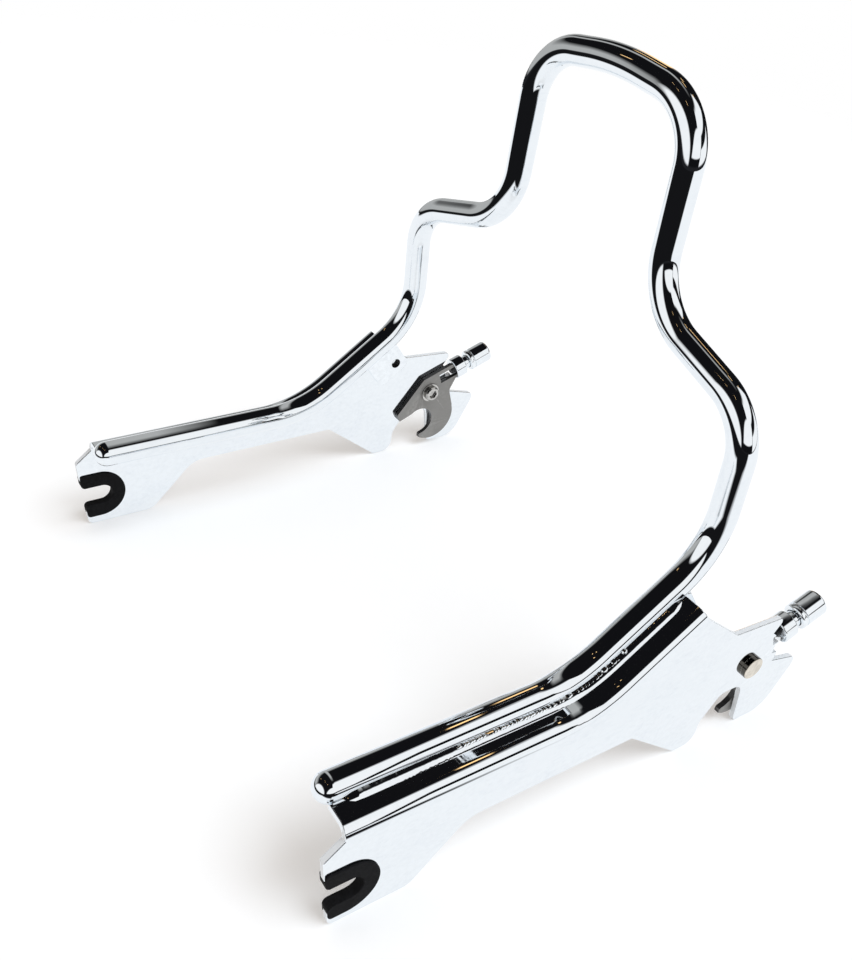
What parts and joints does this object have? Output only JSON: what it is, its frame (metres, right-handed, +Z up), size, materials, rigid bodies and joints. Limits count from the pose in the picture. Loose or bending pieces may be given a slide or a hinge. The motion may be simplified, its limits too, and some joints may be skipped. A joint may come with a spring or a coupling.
{
  "type": "sissy bar",
  "caption": "Detachable chrome passenger back hoop for a motorcycle: bent round bar welded to side plates with docking slots and latches.",
  "frame": {"origin": "middle of the whole box, on the floor that the plates stand on", "axes": "+X to the bike's rear, +Y to its right, +Z up"},
  "size_m": [0.2626, 0.2792, 0.2743],
  "materials": {
    "chrome_bar": "mirror chrome plating",
    "chrome_plate": "mirror chrome plating",
    "weld": "chrome over a rippled weld",
    "bushing": "black moulded rubber",
    "latch_steel": "satin grey",
    "chrome_small": "polished chrome",
    "dark_pin": "blackened steel",
    "spring_steel": "drawn wire",
    "screw_steel": "bright plated"
  },
  "bodies": {
    "frame": {"hoop_bar": "chrome_bar", "pivot_studs": "chrome_small", "pivot_screws": "screw_steel", "pivot_washers": "screw_steel", "latch_shims": "screw_steel", "side_plate_left": "chrome_plate", "weld_bead_left": "weld", "rack_tab_left": "chrome_plate", "slot_bushing_left": "bushing", "side_plate_right": "chrome_plate", "weld_bead_right": "weld", "rack_tab_right": "chrome_plate", "slot_bushing_right": "bushing"},
    "latch_left": {"latch_hook_left": "latch_steel", "plunger_sleeve_left": "chrome_small", "plunger_spring_left": "spring_steel"},
    "plunger_left": {"plunger_pin_left": "dark_pin", "pull_knob_left": "chrome_small"},
    "latch_right": {"latch_hook_right": "latch_steel", "plunger_sleeve_right": "chrome_small", "plunger_spring_right": "spring_steel"},
    "plunger_right": {"plunger_pin_right": "dark_pin", "pull_knob_right": "chrome_small"}
  },
  "joints": [
    {"name": "latch_left_hinge", "type": "hinge", "parent": "frame", "child": "latch_left", "pos_m": [0.08794, -0.1317, 0.0385], "axis": [0, 1, 0], "range_deg": [0, 24]},
    {"name": "plunger_left_slide", "type": "slide", "parent": "latch_left", "child": "plunger_left", "axis": [0.9397, 0, 0.342], "range_m": [-0.0032, 0.001], "stiffness_N_per_m": 150},
    {"name": "latch_right_hinge", "type": "hinge", "parent": "frame", "child": "latch_right", "pos_m": [0.08794, 0.1317, 0.0385], "axis": [0, 1, 0], "range_deg": [0, 24]},
    {"name": "plunger_right_slide", "type": "slide", "parent": "latch_right", "child": "plunger_right", "axis": [0.9397, 0, 0.342], "range_m": [-0.0032, 0.001], "stiffness_N_per_m": 150}
  ]
}
